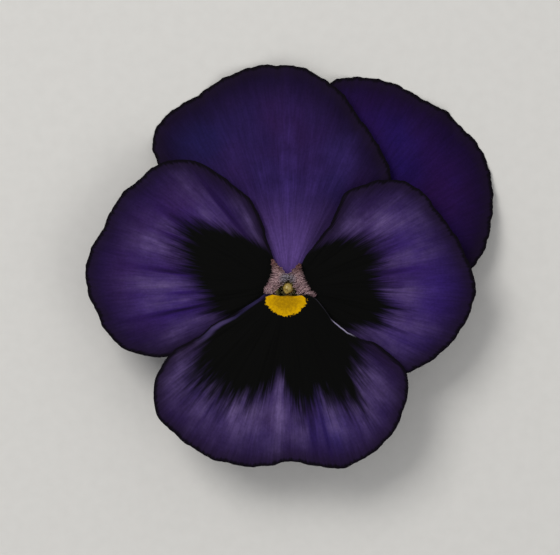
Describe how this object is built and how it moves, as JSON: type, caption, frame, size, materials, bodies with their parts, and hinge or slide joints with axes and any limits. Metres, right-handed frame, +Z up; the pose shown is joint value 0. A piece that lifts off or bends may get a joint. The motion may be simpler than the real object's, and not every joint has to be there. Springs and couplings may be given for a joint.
{
  "type": "pansy flower",
  "caption": "Picked garden pansy lying face up: overlapping rounded petals with dark blotches round a yellow eye, leafy sepals behind, and a short cut stalk hooked under the bloom.",
  "frame": {"origin": "under the middle of the bloom's box, on the surface that the bloom lies on", "axes": "+Z up out of the open face, -Y towards the lower petal and along the stalk, +X to the right as the face is looked at"},
  "size_m": [0.07, 0.0692, 0.0128],
  "materials": {
    "upper_petal_violet": "matte",
    "rear_petal_indigo": "matte",
    "faced_petal_violet": "matte",
    "lower_petal_violet": "matte",
    "sepal_green": "satin",
    "stalk_green": "satin",
    "anther_ochre": "matte",
    "stigma_green": "satin"
  },
  "bodies": {
    "root": {"petal_upper_left": "upper_petal_violet", "petal_upper_right": "rear_petal_indigo", "petal_side_left": "faced_petal_violet", "petal_side_right": "faced_petal_violet", "petal_lower": "lower_petal_violet", "sepal_top": "sepal_green", "sepal_left": "sepal_green", "sepal_right": "sepal_green", "sepal_lower_left": "sepal_green", "sepal_lower_right": "sepal_green", "stalk": "stalk_green", "stamens": "anther_ochre", "pistil": "stigma_green"}
  },
  "joints": []
}
